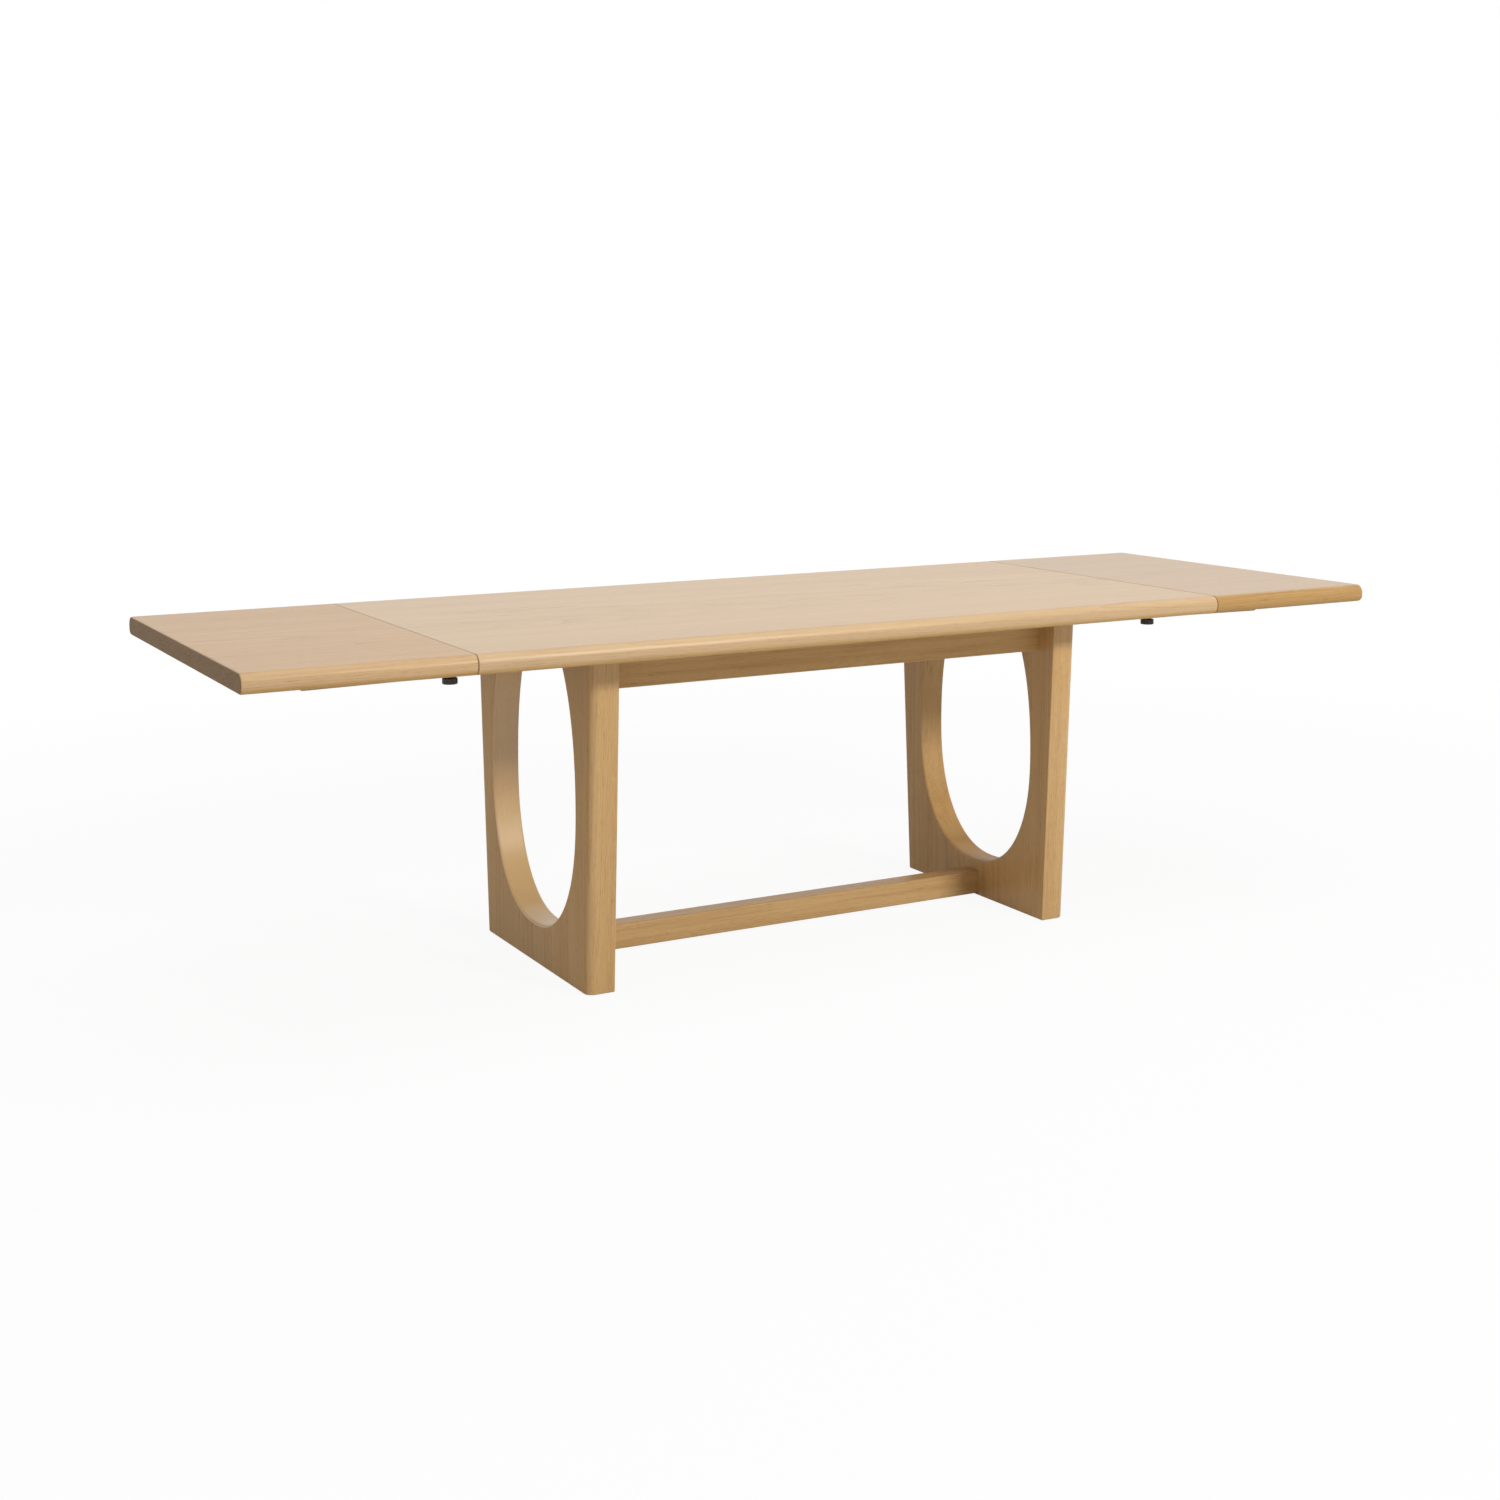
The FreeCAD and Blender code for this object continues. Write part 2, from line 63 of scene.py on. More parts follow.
class Value:
    """A shader output that can stand in an expression; each operator adds one Math node."""

    def __init__(self, layout, socket):
        self.layout = layout
        self.socket = socket

    def also(self, name):
        """Another output of the same node."""
        return Value(self.layout, pick(self.socket.node.outputs, name))

    def math(self, operation, *terms):
        """A Math node with this value as its first term."""
        return self.layout.maths(operation, self, *terms)

    def __abs__(self):
        return self.math("ABSOLUTE")

    def __add__(self, other):
        return self.math("ADD", other)

    def __radd__(self, other):
        return self.layout.maths("ADD", other, self)

    def __sub__(self, other):
        return self.math("SUBTRACT", other)

    def __rsub__(self, other):
        return self.layout.maths("SUBTRACT", other, self)

    def __mul__(self, other):
        return self.math("MULTIPLY", other)

    def __rmul__(self, other):
        return self.layout.maths("MULTIPLY", other, self)

    def __truediv__(self, other):
        return self.math("DIVIDE", other)

    def __pow__(self, other):
        return self.math("POWER", other)


class Layout:
    """A node tree while its nodes are laid out."""

    def __init__(self, tree):
        self.tree = tree

    def node(self, kind, settings=None, sockets=None):
        """A node of that kind with its settings made first, then its sockets set or linked."""
        node = self.tree.nodes.new(kind)
        for name, value in (settings or {}).items():
            setattr(node, name, value)
        for key, value in (sockets or {}).items():
            self.feed(pick(node.inputs, key), value)
        return Value(self, next(socket for socket in node.outputs if socket.enabled))

    def feed(self, socket, value):
        """Links a shader value to the socket, or sets the socket to a plain one."""
        if isinstance(value, Value):
            self.tree.links.new(value.socket, socket)
        else:
            socket.default_value = value

    def maths(self, operation, *terms):
        """A Math node on values and plain numbers."""
        return self.node("ShaderNodeMath", {"operation": operation}, dict(enumerate(terms)))

    def vector(self, x, y, z):
        """A vector of three values."""
        return self.node("ShaderNodeCombineXYZ", None, {"X": x, "Y": y, "Z": z})

    def split(self, vector):
        """The three values of a vector by the names of their axes."""
        parts = self.node("ShaderNodeSeparateXYZ", None, {"Vector": vector})
        return {axis: parts.also(axis) for axis in "XYZ"}

    def scaled(self, vector, size):
        """The vector counted in steps of that size."""
        return self.node("ShaderNodeVectorMath", {"operation": "SCALE"}, {"Vector": vector, "Scale": 1.0 / size})

    def noise(self, vector, detail, roughness=0.5):
        """Smooth noise from 0 to 1, one swell for each unit of the vector."""
        sockets = {"Vector": vector, "Scale": 1.0, "Detail": detail, "Roughness": roughness}
        return self.node("ShaderNodeTexNoise", None, sockets)

    def step(self, value, low, high):
        """Goes smoothly from 0 at low to 1 at high."""
        settings = {"interpolation_type": "SMOOTHSTEP"}
        return self.node("ShaderNodeMapRange", settings, {"Value": value, "From Min": low, "From Max": high})

    def mix(self, share, first, second, blend="MIX"):
        """Colour between two others."""
        settings = {"data_type": "RGBA", "blend_type": blend}
        return self.node("ShaderNodeMix", settings, {"Factor": share, "A": first, "B": second})

    def bump(self, height, depth):
        """Normal for a surface that stands up by depth metres where height is 1."""
        return self.node("ShaderNodeBump", None, {"Height": height, "Distance": depth, "Strength": 1.0})

    def seen_rays(self):
        """1 for what the eye, a mirror or glass sees, 0 for the light that falls on the table."""
        path = self.node("ShaderNodeLightPath")
        seen = path.also("Is Camera Ray").math("MAXIMUM", path.also("Is Glossy Ray"))
        return seen.math("MAXIMUM", path.also("Is Transmission Ray"))


class Finish(Layout):
    """A material on Object coordinates, with the sockets of its shader."""

    def __init__(self, name):
        self.material = bpy.data.materials.new(name)
        self.material.use_nodes = True
        super().__init__(self.material.node_tree)
        self.shader = self.tree.nodes["Principled BSDF"]
        coordinates = self.node("ShaderNodeTexCoord")
        self.place = coordinates.also("Object")
        self.normal = coordinates.also("Normal")

    def drawn(self, log, swell, shift=0.0):
        """A vector whose swells, of that length and width, are drawn out along the grain."""
        (u, v, w), (length, width) = log, swell
        return self.vector(u / length, v / width, w / width + shift)

    def set(self, **sockets):
        """Sets or links the shader's own sockets; words are joined with an underscore."""
        for name, value in sockets.items():
            self.feed(self.shader.inputs[name.replace("_", " ")], value)


NOISE_MEAN = 0.5
# How far a face has to turn to the end of the grain to count as end grain
END_TURN = (0.50, 0.90)

# Oak: colours
OAK_PALE = srgb(200, 162, 108)
OAK_HONEY = srgb(174, 133, 79)
OAK_PORE = srgb(116, 80, 45)
OAK_END = srgb(98, 75, 47)
# Paler colour of the arrises: partly rubbed wear, partly a painted highlight
OAK_RUBBED_AND_HIGHLIGHT = srgb(214, 180, 128)
# Colour of the ray flecks, also used to paint light onto the opening's wall
OAK_RAY_AND_WALL_LIGHT = srgb(216, 184, 134)
SEAM_BROWN = srgb(74, 48, 26)

# Oak: gloss of wood and lacquer
WOOD_GLOSS = 0.05
WOOD_ROUGHNESS = 0.46
PORE_ROUGHNESS = 0.22
STREAK_ROUGHNESS = 0.12
END_ROUGHNESS = 0.2
RUBBED_SMOOTHNESS = 0.08
LACQUER_INDEX = 1.7
TOP_LACQUER_INDEX = 2.2
LACQUER_ROUGHNESS = 0.30
END_THIRST = 1.2

# Oak: staves and growth rings about the pith, lengths in metres
STAVE_WIDTH = 0.105
STAVE_JITTER = 0.55
STAVE_TONE = 0.22
LOG_SPREAD = 40
PITH_SPREAD = 0.26
PITH_DEPTH = 0.10
PITH_NEAREST = 0.02
PITH_DRIFT = 0.07
DRIFT_RATE = 0.8
PITH_LEAN = 0.05
RING_WIDTH = 0.0046
RING_WOBBLE = 2.4
EARLY_FALL = 1.8
POOR_YEAR = 0.35

# Oak: length and width of the figure's swells in metres
WOBBLE_SWELL = (0.45, 0.0625)
PORE_SWELL = (0.024, 0.0013)
FIBRE_SWELL = (0.11, 0.003)
STREAK_SWELL = (1.1, 0.059)
DASH_SWELL = (0.31, 0.0083)
RAY_SWELL = (0.016, 0.0042)
BAND_SWELL = (0.35, 0.011)
PATCH_SWELL = (0.12, 0.05)
SPECKLE_SIZE = 0.005

# Oak: where the noise begins and ends to count, and the share of each mark in the tone
PORE_CUT = (0.56, 0.72)
DASH_CUT = (0.60, 0.78)
RAY_CUT = (0.66, 0.74)
LATE_PORES = 0.25
BASE_TONE = 0.15
EARLY_TONE = 0.50
STREAK_TONE = 0.55
FIBRE_TONE = 0.35
DASH_TONE = 0.22
DASH_MEAN = 0.12
RAY_SHARE = 0.22
PORE_SHARE = 0.55
EDGE_FIGURE = 1.9
FIBRE_HEIGHT = 0.25
EARLY_HOLLOW = 0.35
GRAIN_DEPTH = 0.00018

# Oak: how far a face has to turn to count as flat, rubbed and highlighted, joint end, lit sill or underside
FLAT_TURN = (0.80, 0.98)
RUB_AND_HIGHLIGHT_TURN = (0.18, 0.48)
JOINT_TURN = (0.8, 0.95)
SILL_TURN = (0.05, 0.40)
BARE_TURN = (-0.15, -0.60)
SPECKLE_LEAST = 0.7
SPECKLE_SPREAD = 0.6
PATCH_LEAST = 0.25
SEAM_REACH = 0.0022
SEAM_SHARE = 0.25
OPENING_MARGIN = 0.02
# Painted light on the opening's wall, with more where the wall faces up at its sill
WALL_PAINTED_LIGHT = 0.3
SILL_PAINTED_LIGHT = 0.6


def oak(name, grain, across, seed, lacquer, edge_lacquer=None, index=LACQUER_INDEX, figure=1.0, end_dark=0.72,
        bands=0.0, rub_and_highlight=0.15, staves=True, tint=None, joint=None, opening=None):
    """Planed and lacquered oak: growth rings about a wandering pith, open pores and slow streaks of tone."""
    finish = Finish(name)
    axis = finish.split(finish.place)
    facing = finish.split(finish.normal)
    depth = (set("XYZ") - {grain, across}).pop()
    log = u, v, w = axis[grain], axis[across], axis[depth]
    square = abs(facing[depth])
    flat = finish.step(square, *FLAT_TURN)

    # Each stave is cut from its own part of the log
    line = v / STAVE_WIDTH + seed if staves else seed
    settings = {"voronoi_dimensions": "1D"}
    stave = finish.node("ShaderNodeTexVoronoi", settings, {"W": line, "Scale": 1.0, "Randomness": STAVE_JITTER})
    chance = finish.split(stave.also("Color"))

    # Growth rings
    cut = finish.vector(u * DRIFT_RATE + chance["X"] * LOG_SPREAD, chance["Y"] * LOG_SPREAD, seed)
    drift = finish.noise(cut, detail=1.0)
    lean = u * (chance["Z"] - NOISE_MEAN) * PITH_LEAN
    from_pith_v = v + (chance["X"] - NOISE_MEAN) * PITH_SPREAD + (drift - NOISE_MEAN) * PITH_DRIFT
    from_pith_w = w + chance["Y"] * PITH_DEPTH + PITH_NEAREST + lean
    radius = finish.maths("SQRT", from_pith_v ** 2.0 + from_pith_w ** 2.0)
    wobble = finish.noise(finish.drawn(log, WOBBLE_SWELL, seed), detail=2.0)
    ring = radius / RING_WIDTH + wobble * RING_WOBBLE
    phase = ring.math("FRACT")
    year = finish.node("ShaderNodeTexWhiteNoise", {"noise_dimensions": "1D"}, {"W": ring.math("FLOOR") + seed})
    early = (1.0 - phase) ** EARLY_FALL * (POOR_YEAR + year * (1.0 - POOR_YEAR))

    # Pores, fibres, streaks, dashes and ray flecks
    pores = finish.step(finish.noise(finish.drawn(log, PORE_SWELL), detail=1.0), *PORE_CUT)
    pores = pores * (LATE_PORES + early * (1.0 - LATE_PORES))
    fibres = finish.noise(finish.drawn(log, FIBRE_SWELL), detail=3.0, roughness=0.6)
    streaks = finish.noise(finish.drawn(log, STREAK_SWELL, seed), detail=3.0, roughness=0.55)
    dashes = finish.step(finish.noise(finish.drawn(log, DASH_SWELL, seed), detail=2.0), *DASH_CUT)
    rays = finish.step(finish.noise(finish.drawn(log, RAY_SWELL, seed * 2), detail=1.0), *RAY_CUT)

    strokes = (streaks - NOISE_MEAN) * STREAK_TONE + (fibres - NOISE_MEAN) * FIBRE_TONE
    strokes = strokes + (dashes - DASH_MEAN) * DASH_TONE
    strokes = strokes * (EDGE_FIGURE - flat * (EDGE_FIGURE - 1.0)) * figure
    if bands:
        strokes = strokes + (finish.noise(finish.drawn(log, BAND_SWELL, seed), detail=2.0) - NOISE_MEAN) * bands
    tone = BASE_TONE + early * EARLY_TONE + strokes + (chance["Z"] - NOISE_MEAN) * STAVE_TONE
    colour = finish.mix(tone, OAK_PALE, OAK_HONEY)
    colour = finish.mix(rays * RAY_SHARE, colour, OAK_RAY_AND_WALL_LIGHT)
    colour = finish.mix(pores * PORE_SHARE, colour, OAK_PORE)

    # End grain drinks the lacquer and darkens, arrises are painted paler, partly as rubbed wear and partly as a
    # painted highlight
    speckle = finish.noise(finish.scaled(finish.place, SPECKLE_SIZE), detail=2.0)
    end = finish.step(abs(facing[grain]), *END_TURN) * (SPECKLE_LEAST + speckle * SPECKLE_SPREAD) * end_dark
    colour = finish.mix(end, colour, OAK_END)
    turned = square * finish.maths("SQRT", 1.0 - square * square.math("MINIMUM", 1.0))
    patches = finish.noise(finish.drawn(log, PATCH_SWELL, seed), detail=3.0)
    rubbed_and_highlight = finish.step(turned, *RUB_AND_HIGHLIGHT_TURN) * (PATCH_LEAST + patches * (1.0 - PATCH_LEAST))
    colour = finish.mix(rubbed_and_highlight * rub_and_highlight, colour, OAK_RUBBED_AND_HIGHLIGHT)
    if tint:
        colour = finish.mix(1.0, colour, tint, "MULTIPLY")
    if joint:
        gap = abs(abs(u) - joint)
        seam = finish.step(gap, SEAM_REACH, 0.0) * (1.0 - finish.step(abs(facing[grain]), *JOINT_TURN))
        colour = finish.mix(seam * SEAM_SHARE, colour, SEAM_BROWN)

    # Edges and the opening have their own lacquer, the opening's wall may get painted light, most where it faces
    # up at its sill, and the underside has no lacquer
    weight = lacquer
    if edge_lacquer is not None:
        weight = edge_lacquer + flat * (lacquer - edge_lacquer)
        if opening:
            half_width, wall_lacquer, wall_light_share = opening
            wall = finish.step(abs(v), half_width + OPENING_MARGIN, half_width) * (1.0 - flat)
            weight = weight + wall * (wall_lacquer - edge_lacquer)
            wall_light = finish.step(facing[grain], *SILL_TURN) * SILL_PAINTED_LIGHT + WALL_PAINTED_LIGHT
            colour = finish.mix(wall * wall_light * wall_light_share, colour, OAK_RAY_AND_WALL_LIGHT)
    bare = finish.step(facing["Z"], *BARE_TURN)
    weight = (1.0 - end * END_THIRST) * (1.0 - bare) * weight

    roughness = WOOD_ROUGHNESS + pores * PORE_ROUGHNESS + (streaks - NOISE_MEAN) * STREAK_ROUGHNESS
    roughness = roughness + end * END_ROUGHNESS - rubbed_and_highlight * RUBBED_SMOOTHNESS
    height = fibres * FIBRE_HEIGHT - pores - early * EARLY_HOLLOW
    finish.set(Base_Color=colour, Roughness=roughness, Normal=finish.bump(height, GRAIN_DEPTH))
    finish.set(Coat_Weight=weight, Coat_Roughness=LACQUER_ROUGHNESS, Coat_IOR=index)
    finish.set(Specular_IOR_Level=WOOD_GLOSS)
    return finish.material


# Beech: lengths in metres
BEECH_PALE = srgb(222, 186, 146)
BEECH_DEEP = srgb(196, 154, 112)
BEECH_FLECK = srgb(140, 96, 62)
BEECH_END = srgb(150, 110, 74)
BEECH_FLECK_SWELL = (0.009, 0.0011)
BEECH_STREAK_SWELL = (0.5, 0.017)
BEECH_FIBRE_SWELL = (0.07, 0.002)
BEECH_FLECK_CUT = (0.60, 0.70)
BEECH_FLECK_SHARE = 0.45
BEECH_END_SHARE = 0.4
BEECH_ROUGHNESS = 0.55
BEECH_STREAK_ROUGHNESS = 0.15
BEECH_FLECK_ROUGHNESS = 0.1
BEECH_DEPTH = 0.00012


def beech(name, grain, seed):
    """Pale close-grained beech with short dark flecks."""
    finish = Finish(name)
    axis = finish.split(finish.place)
    across, depth = sorted(set("XYZ") - {grain})
    log = axis[grain], axis[across], axis[depth]
    flecks = finish.step(finish.noise(finish.drawn(log, BEECH_FLECK_SWELL, seed), detail=1.0), *BEECH_FLECK_CUT)
    streaks = finish.noise(finish.drawn(log, BEECH_STREAK_SWELL, seed), detail=3.0)
    fibres = finish.noise(finish.drawn(log, BEECH_FIBRE_SWELL), detail=2.0)
    colour = finish.mix(streaks, BEECH_PALE, BEECH_DEEP)
    colour = finish.mix(flecks * BEECH_FLECK_SHARE, colour, BEECH_FLECK)
    end = finish.step(abs(finish.split(finish.normal)[grain]), *END_TURN)
    colour = finish.mix(end * BEECH_END_SHARE, colour, BEECH_END)
    roughness = BEECH_ROUGHNESS + (streaks - NOISE_MEAN) * BEECH_STREAK_ROUGHNESS + flecks * BEECH_FLECK_ROUGHNESS
    finish.set(Base_Color=colour, Roughness=roughness, Normal=finish.bump(fibres - flecks, BEECH_DEPTH))
    return finish.material


# Plastic: lengths in metres
SPARK_SIZE = 0.00045
SPARK_DEPTH = 0.00006
HAND_SIZE = 0.007
HAND_CUT = (0.5, 0.75)
WORN_SHARE = 0.5
PLASTIC_ROUGHNESS = 0.52
WORN_SMOOTHNESS = 0.16
SPARK_ROUGHNESS = 0.12


def moulded_plastic(name, colour, worn):
    """Spark-textured plastic, a little paler and smoother where hands rub it."""
    finish = Finish(name)
    sparks = finish.noise(finish.scaled(finish.place, SPARK_SIZE), detail=2.0)
    hands = finish.noise(finish.scaled(finish.place, HAND_SIZE), detail=3.0)
    shine = finish.step(hands, *HAND_CUT)
    roughness = PLASTIC_ROUGHNESS - shine * WORN_SMOOTHNESS + (sparks - NOISE_MEAN) * SPARK_ROUGHNESS
    finish.set(Base_Color=finish.mix(shine * WORN_SHARE, colour, worn), Roughness=roughness)
    finish.set(Normal=finish.bump(sparks, SPARK_DEPTH))
    return finish.material


# Metals: lengths in metres
CLOUD_SIZE = 0.006
CLOUD_ROUGHNESS = 0.25
MARK_LENGTH = 0.0033
MARK_PITCH = 0.0004
MARK_ROUGHNESS = 0.1
MARK_DEPTH = 0.00003


def plated_metal(name, bright, dull, roughness):
    """Plated or turned metal with a cloudy finish and fine turning marks."""
    finish = Finish(name)
    clouds = finish.noise(finish.scaled(finish.place, CLOUD_SIZE), detail=4.0)
    axis = finish.split(finish.place)
    turning = finish.vector(axis["X"] / MARK_LENGTH, axis["Y"] / MARK_LENGTH, axis["Z"] / MARK_PITCH)
    marks = finish.noise(turning, detail=2.0)
    roughness = clouds * CLOUD_ROUGHNESS + (marks - NOISE_MEAN) * MARK_ROUGHNESS + roughness
    finish.set(Base_Color=finish.mix(clouds, bright, dull), Metallic=1.0)
    finish.set(Roughness=roughness, Normal=finish.bump(marks, MARK_DEPTH))
    return finish.material


def link(thing):
    """Puts a new object in the scene."""
    bpy.context.scene.collection.objects.link(thing)
    return thing


def dress(material, *names):
    """Gives CAD nodes their finish."""
    for name in names:
        nodes[name].data.materials.clear()
        nodes[name].data.materials.append(material)


def corners(piece):
    """The names of a piece at the four leaf bearers."""
    return ["%s_%s_%s" % (end, side, piece) for end in ("left", "right") for side in ("front", "back")]


def ends(piece):
    """The names of a piece at both ends of the table."""
    return ["left_" + piece, "right_" + piece]


# Finishes of the boards and panels
TOP = {"index": TOP_LACQUER_INDEX, "figure": 0.8, "joint": TOP_JOINT}
TRESTLE = {"edge_lacquer": 0.45, "figure": 1.5, "end_dark": 0.12}
# Openings: half width in metres, lacquer on the wall, and how much painted light the wall gets
LEFT_OPENING = (OPENING_HALF_WIDTH, 1.0, 1.0)
RIGHT_OPENING = (OPENING_HALF_WIDTH, 0.3, 0.0)
top_oak = oak("top_oak", "X", "Y", seed=3.1, lacquer=0.80, edge_lacquer=0.95, rub_and_highlight=0.45,
              tint=srgb(250, 250, 246), **TOP)
left_leaf_oak = oak("left_leaf_oak", "X", "Y", seed=17.7, lacquer=0.59, edge_lacquer=0.75, rub_and_highlight=0.25,
                    tint=srgb(248, 243, 236), **TOP)
right_leaf_oak = oak("right_leaf_oak", "X", "Y", seed=29.4, lacquer=0.83, edge_lacquer=0.05, rub_and_highlight=0.0,
                     tint=srgb(236, 233, 227), **TOP)
left_trestle_oak = oak("left_trestle_oak", "Z", "Y", seed=41.2, lacquer=0.10, opening=LEFT_OPENING, **TRESTLE)
right_trestle_oak = oak("right_trestle_oak", "Z", "Y", seed=53.9, lacquer=0.25, opening=RIGHT_OPENING, **TRESTLE)
head_rail_oak = oak("head_rail_oak", "Y", "Z", seed=61.5, lacquer=0.2, staves=False)
apron_oak = oak("apron_oak", "X", "Z", seed=75.3, lacquer=0.15, figure=1.8, bands=2.4, staves=False)
stretcher_oak = oak("stretcher_oak", "X", "Z", seed=83.6, lacquer=0.45, figure=1.4, bands=1.2, staves=False)
bearer_oak = oak("bearer_oak", "X", "Y", seed=97.8, lacquer=0.2, staves=False)
dress(top_oak, "main_top")
dress(left_leaf_oak, "left_leaf")
dress(right_leaf_oak, "right_leaf")
dress(left_trestle_oak, "left_trestle")
dress(right_trestle_oak, "right_trestle")
dress(head_rail_oak, *ends("head_rail"))
dress(apron_oak, "front_apron", "back_apron")
dress(stretcher_oak, "stretcher")
dress(bearer_oak, *corners("bearer"))

# Finishes of the fittings
dress(beech("guide_beech", "X", seed=5.0), *corners("guide_outer"), *corners("guide_inner"), "top_buttons")
dress(beech("dowel_beech", "X", seed=11.0), *ends("leaf_dowels"))
dress(moulded_plastic("knob_plastic", srgb(50, 40, 29), worn=srgb(76, 63, 48)), *corners("knob"))
dress(moulded_plastic("glide_plastic", srgb(84, 70, 56), worn=srgb(112, 98, 82)), "floor_glides")
zinc_steel = plated_metal("zinc_steel", srgb(205, 206, 204), dull=srgb(150, 152, 154), roughness=0.22)
insert_brass = plated_metal("insert_brass", srgb(214, 178, 96), dull=srgb(160, 122, 58), roughness=0.25)
dress(zinc_steel, *corners("knob_stud"), *ends("bearer_screws"), "guide_screws", "head_rail_screws",
      "button_screws", "apron_bolts", "apron_nuts", "stretcher_bolts", "stretcher_nuts")
dress(insert_brass, "knob_inserts")

# Cross-head screws: lengths in metres, and shares of the grid's reach
HEAD_RADIUS = 0.0048
SHANK_RADIUS = 0.0025
RIM_STEPS = 24
RIM_BEVEL = 0.0003
BEVEL_STEPS = 2
TIP_LENGTH = 0.005
TIP_SHARE = 0.1
GRID_REACH = 0.0029
GRID_STEPS = 6
INNER_LINES = (0.2, 0.5)
OUTER_LINES = (0.5, 0.8)
ARM_NARROW = 0.65
ARM_STRETCH = 1.3
ARM_HALF_WIDTH = 0.15
ARM_REACH = 0.7
CROSS_DEPTH = 0.0019
CROSS_TAPER = 0.62
WELD = 1e-6


def solids(node):
    """The box of each loose solid of a CAD node, as its lowest and highest corners."""
    form = bmesh.new()
    form.from_mesh(node.data)
    bmesh.ops.remove_doubles(form, verts=form.verts, dist=WELD)
    left = set(form.verts)
    boxes = []
    while left:
        reached = [left.pop()]
        for vert in reached:
            found = {edge.other_vert(vert) for edge in vert.link_edges} & left
            left -= found
            reached.extend(found)
        spread = list(zip(*(vert.co for vert in reached)))
        boxes.append((Vector(map(min, spread)), Vector(map(max, spread))))
    form.free()
    return sorted(boxes, key=lambda box: tuple(box[0]))


def drawn_up(form, ring, rise, share, place):
    """Extrudes a ring of edges upwards and scales the new ring about the screw's axis."""
    made = bmesh.ops.extrude_edge_only(form, edges=ring)["geom"]
    verts = [part for part in made if isinstance(part, bmesh.types.BMVert)]
    bmesh.ops.translate(form, verts=verts, vec=(0.0, 0.0, rise))
    bmesh.ops.scale(form, verts=verts, vec=(share, share, 1.0), space=Matrix.Translation(-place))
    return [part for part in made if isinstance(part, bmesh.types.BMEdge)], verts


def add_screw(form, place, length):
    """A countersunk screw that points up, with its head's flat face at the place."""
    seat = Matrix.Translation(place)
    about = Matrix.Translation(-place)

    # The driver's cross is pressed into a grid whose lines are drawn to its arms
    square = bmesh.ops.create_grid(form, x_segments=GRID_STEPS, y_segments=GRID_STEPS, size=GRID_REACH,
                                   matrix=seat)["verts"]
    for axis in (0, 1):
        for (first, last), share in ((INNER_LINES, ARM_NARROW), (OUTER_LINES, ARM_STRETCH)):
            line = [vert for vert in square if first < abs(vert.co[axis] - place[axis]) / GRID_REACH < last]
            size = Vector((1.0, 1.0, 1.0))
            size[axis] = share
            bmesh.ops.scale(form, verts=line, vec=size, space=about)
    lines = dict.fromkeys(edge for vert in square for edge in vert.link_edges)
    outline = [edge for edge in lines if edge.is_boundary]
    cross = []
    for face in dict.fromkeys(face for vert in square for face in vert.link_faces):
        aside = sorted(abs(middle) / GRID_REACH for middle in (face.calc_center_median() - place).xy)
        if aside[0] < ARM_HALF_WIDTH and aside[1] < ARM_REACH:
            cross.append(face)
    made = bmesh.ops.extrude_face_region(form, geom=cross)["geom"]
    floor = [part for part in made if isinstance(part, bmesh.types.BMVert)]
    bmesh.ops.translate(form, verts=floor, vec=(0.0, 0.0, CROSS_DEPTH))
    bmesh.ops.scale(form, verts=floor, vec=(CROSS_TAPER, CROSS_TAPER, 1.0), space=about)

    # Head, cone, shank and tip
    rim = bmesh.ops.create_circle(form, segments=RIM_STEPS, radius=HEAD_RADIUS, matrix=seat)["verts"]
    rim = list(dict.fromkeys(edge for vert in rim for edge in vert.link_edges))
    bmesh.ops.bridge_loops(form, edges=outline + rim)
    cone = HEAD_RADIUS - SHANK_RADIUS
    ring, verts = drawn_up(form, rim, cone, SHANK_RADIUS / HEAD_RADIUS, place)
    ring, verts = drawn_up(form, ring, length - cone - TIP_LENGTH, 1.0, place)
    ring, verts = drawn_up(form, ring, TIP_LENGTH, TIP_SHARE, place)
    bmesh.ops.pointmerge(form, verts=verts, merge_co=place + Vector((0.0, 0.0, length)))
    bmesh.ops.bevel(form, geom=rim, offset=RIM_BEVEL, offset_type="OFFSET", affect="EDGES", segments=BEVEL_STEPS,
                    profile=0.5, material=-1)


def put_in_order(parts, place):
    """Sorts the parts of a mesh by their places, since the order they are made in changes from run to run."""
    for number, part in enumerate(sorted(parts, key=lambda part: tuple(place(part)))):
        part.index = number
    parts.sort()


def make_screws(name, node, body):
    """One piece of cross-head screws in the places of a node's plain ones."""
    form = bmesh.new()
    for low, high in solids(nodes[node]):
        add_screw(form, Vector(((low.x + high.x) / 2, (low.y + high.y) / 2, low.z)), high.z - low.z)
    bmesh.ops.recalc_face_normals(form, faces=form.faces)
    put_in_order(form.verts, lambda vert: vert.co)
    put_in_order(form.faces, bmesh.types.BMFace.calc_center_median)
    mesh = bpy.data.meshes.new(name)
    form.to_mesh(mesh)
    form.free()
    mesh.materials.append(zinc_steel)
    piece = link(bpy.data.objects.new(name, mesh))
    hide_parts(node)
    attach(piece, body)


make_screws("cross_head_guide_screws", "guide_screws", "frame")
make_screws("cross_head_rail_screws", "head_rail_screws", "frame")
make_screws("cross_head_button_screws", "button_screws", "frame")
make_screws("cross_head_left_bearer_screws", "left_bearer_screws", "left_leaf_set")
make_screws("cross_head_right_bearer_screws", "right_bearer_screws", "right_leaf_set")

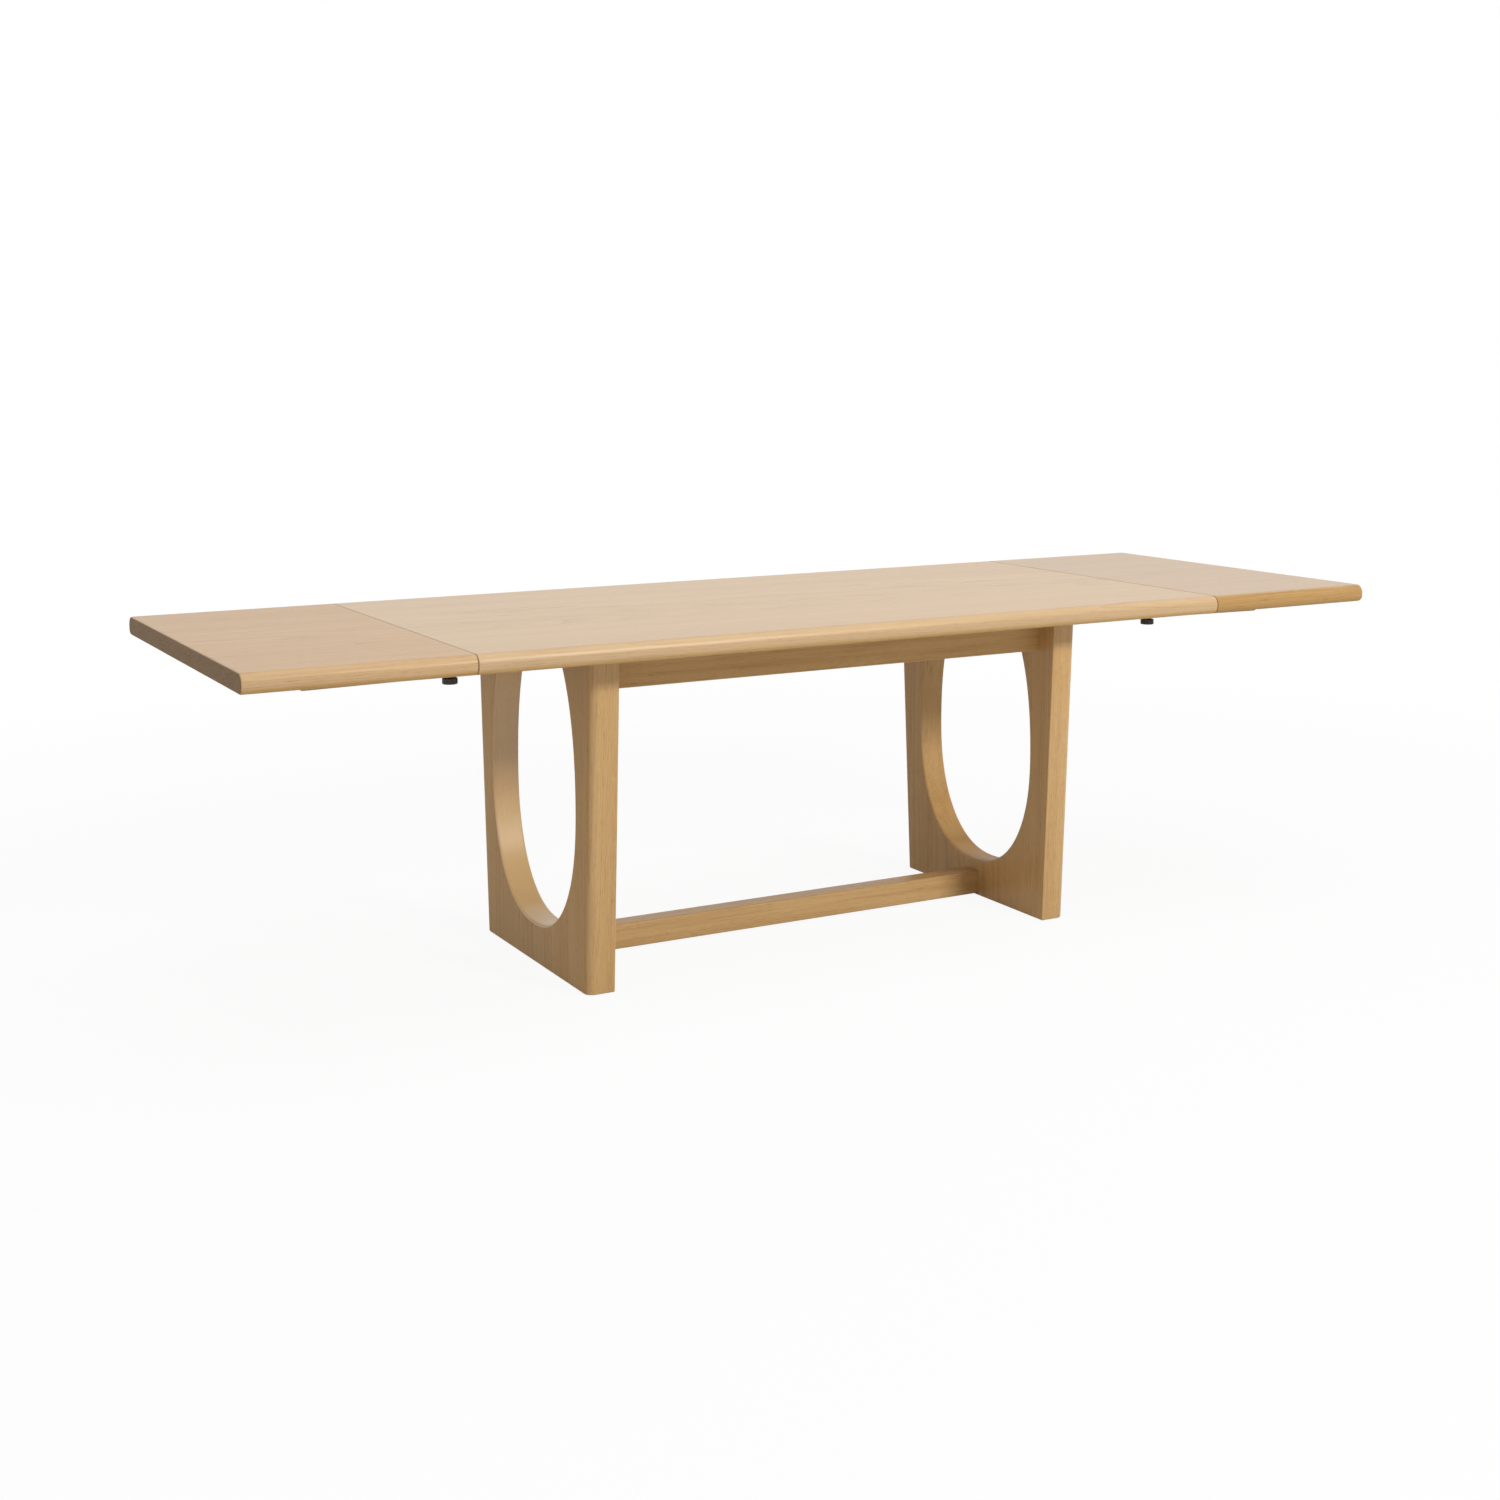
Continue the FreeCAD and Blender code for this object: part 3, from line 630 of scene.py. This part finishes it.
# Floor and room: lengths in metres
FLOOR_SIDE = 60.0
FLOOR_DROP = 0.0004
FLOOR_WHITE = (0.80, 0.80, 0.80, 1.0)
FLOOR_GLOW = 0.93
FLOOR_NEAR = 1.4
FLOOR_FAR = 4.5
ROOM_LIGHT = 0.33
WHITE = (1.0, 1.0, 1.0, 1.0)

# Camera: an almost level studio shot whose frame reaches further below the lens axis than above it
PHOTO_SIDE = 1500
SENSOR = 36.0
FOCAL_PIXELS = 2073.7
AXIS_ROW = 520.0
CAMERA_PLACE = Vector((-2.2910, -4.1009, 1.3323))
CAMERA_YAW = math.radians(28.457)
CAMERA_PITCH = math.radians(4.807)
CAMERA_ROLL = math.radians(-0.258)
CAMERA_REACH = 200.0


def make_floor():
    """White floor that keeps the table's shadow and fades into the background."""
    mesh = bpy.data.meshes.new("floor")
    form = bmesh.new()
    bmesh.ops.create_grid(form, x_segments=1, y_segments=1, size=FLOOR_SIDE / 2,
                          matrix=Matrix.Translation((0.0, 0.0, -FLOOR_DROP)))
    form.to_mesh(mesh)
    form.free()
    floor = link(bpy.data.objects.new("floor", mesh))
    finish = Finish("floor_white")
    matt = finish.node("ShaderNodeBsdfDiffuse", None, {"Color": FLOOR_WHITE})
    glow = finish.node("ShaderNodeEmission", None, {"Color": WHITE, "Strength": 1.0})
    axis = finish.split(finish.place)
    distance = finish.maths("SQRT", axis["X"] ** 2.0 + axis["Y"] ** 2.0)
    share = FLOOR_GLOW + finish.step(distance, FLOOR_NEAR, FLOOR_FAR) * (1.0 - FLOOR_GLOW)
    pale = finish.node("ShaderNodeMixShader", None, {0: share, 1: matt, 2: glow})
    both = finish.node("ShaderNodeMixShader", None, {0: finish.seen_rays(), 1: matt, 2: pale})
    finish.feed(finish.tree.nodes["Material Output"].inputs["Surface"], both)
    mesh.materials.append(finish.material)


def make_world():
    """White backdrop that lights the table like a pale room."""
    world = bpy.data.worlds.new("studio")
    world.use_nodes = True
    bpy.context.scene.world = world
    layout = Layout(world.node_tree)
    backdrop = world.node_tree.nodes["Background"]
    layout.feed(backdrop.inputs["Color"], WHITE)
    layout.feed(backdrop.inputs["Strength"], layout.seen_rays() * (1.0 - ROOM_LIGHT) + ROOM_LIGHT)


def softbox(name, place, target, width, height, power, lights=True, mirrors=True):
    """A lamp behind a diffuser; it may light surfaces, show in their gloss, or both."""
    lamp = bpy.data.lights.new(name, "AREA")
    lamp.shape = "RECTANGLE"
    lamp.size = width
    lamp.size_y = height
    lamp.energy = power
    box = link(bpy.data.objects.new(name, lamp))
    aim = (Vector(target) - Vector(place)).to_track_quat("-Z", "Y")
    box.matrix_world = Matrix.Translation(place) @ aim.to_matrix().to_4x4()
    box.visible_diffuse = lights
    box.visible_glossy = mirrors


def make_camera():
    """The camera at the photograph's viewing angle."""
    lens = bpy.data.cameras.new("camera")
    lens.sensor_width = SENSOR
    lens.lens = FOCAL_PIXELS / PHOTO_SIDE * SENSOR
    lens.shift_y = -(PHOTO_SIDE / 2 - AXIS_ROW) / PHOTO_SIDE
    lens.clip_end = CAMERA_REACH
    camera = link(bpy.data.objects.new("camera", lens))
    camera.matrix_world = (Matrix.Translation(CAMERA_PLACE) @ Matrix.Rotation(-CAMERA_YAW, 4, "Z")
                           @ Matrix.Rotation(math.pi / 2 - CAMERA_PITCH, 4, "X")
                           @ Matrix.Rotation(CAMERA_ROLL, 4, "Z"))
    bpy.context.scene.camera = camera


make_floor()
make_world()
softbox("overhead_softbox", place=(0.0, -0.4, 4.2), target=(0.0, 0.0, 0.7), width=4.5, height=3.2, power=73.0,
        mirrors=False)
softbox("front_key", place=(2.4, -6.6, 3.95), target=(0.0, 0.0, 0.5), width=1.7, height=0.95, power=340.0,
        mirrors=False)
softbox("front_highlight", place=(2.4, -6.0, 4.4), target=(0.0, 0.0, 0.7), width=2.0, height=3.4, power=48.0,
        lights=False)
softbox("left_fill", place=(-12.0, -2.0, 3.4), target=(0.0, 0.0, 0.4), width=6.0, height=4.0, power=110.0,
        mirrors=False)
make_camera()
bpy.context.scene.view_settings.view_transform = "Standard"
